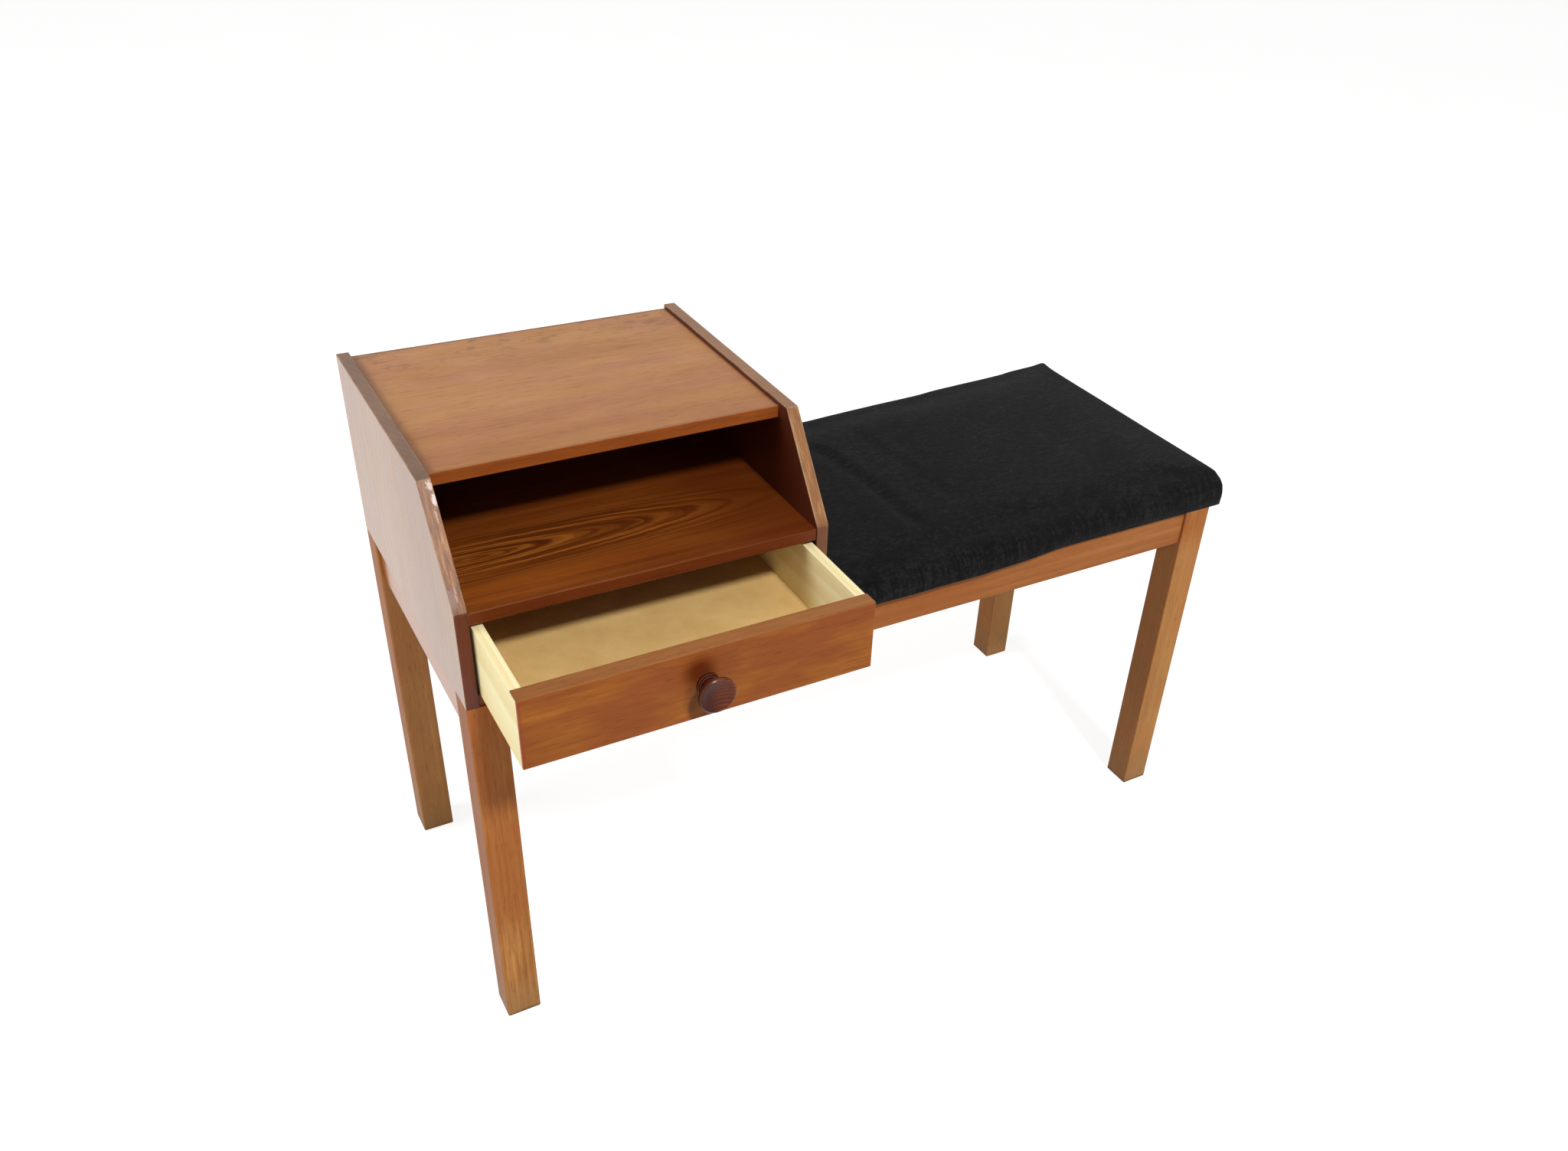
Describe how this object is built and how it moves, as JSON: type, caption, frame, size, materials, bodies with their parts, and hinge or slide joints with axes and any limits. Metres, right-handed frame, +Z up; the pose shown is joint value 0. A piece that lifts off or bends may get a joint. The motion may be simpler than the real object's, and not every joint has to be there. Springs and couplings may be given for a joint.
{
  "type": "telephone bench",
  "caption": "Low hall bench with a padded fabric seat beside a small wooden cabinet that has sloped sides, an open shelf and a drawer standing open.",
  "frame": {"origin": "on the floor, under the middle of the bounding box, with the drawer standing open as at rest", "axes": "+X from the cabinet to the seat, +Y from the front to the back, +Z up"},
  "size_m": [0.867, 0.473, 0.589],
  "materials": {
    "frame_teak": "oiled, worn",
    "cabinet_teak": "satin, worn edges",
    "drawer_teak": "satin, streaked",
    "drawer_pine": "raw, smooth",
    "hardboard": "matte",
    "knob_wood": "turned, polished",
    "inner_pine": "raw",
    "plywood": "raw",
    "seat_wool": "woven wool, matte",
    "screw_steel": "plated"
  },
  "bodies": {
    "bench": {"leg_front_left": "frame_teak", "leg_front_right": "frame_teak", "leg_rear_left": "frame_teak", "leg_rear_right": "frame_teak", "apron_front": "frame_teak", "apron_rear": "frame_teak", "end_rail_left": "frame_teak", "end_rail_right": "frame_teak", "side_panel_left": "cabinet_teak", "side_panel_right": "cabinet_teak", "top_board": "cabinet_teak", "shelf": "cabinet_teak", "cabinet_bottom": "cabinet_teak", "cabinet_back": "hardboard", "middle_rail": "inner_pine", "corner_brace_front_left": "inner_pine", "corner_brace_front_right": "inner_pine", "corner_brace_rear_left": "inner_pine", "corner_brace_rear_right": "inner_pine", "seat_board": "plywood", "seat_cushion": "seat_wool", "frame_screws": "screw_steel"},
    "drawer": {"drawer_front": "drawer_teak", "drawer_side_left": "drawer_pine", "drawer_side_right": "drawer_pine", "drawer_back": "drawer_pine", "drawer_bottom": "hardboard", "knob": "knob_wood", "knob_screw": "screw_steel"}
  },
  "joints": [
    {"name": "drawer_slide", "type": "slide", "parent": "bench", "child": "drawer", "axis": [0, -1, 0], "range_m": [-0.1115, 0.13]}
  ]
}
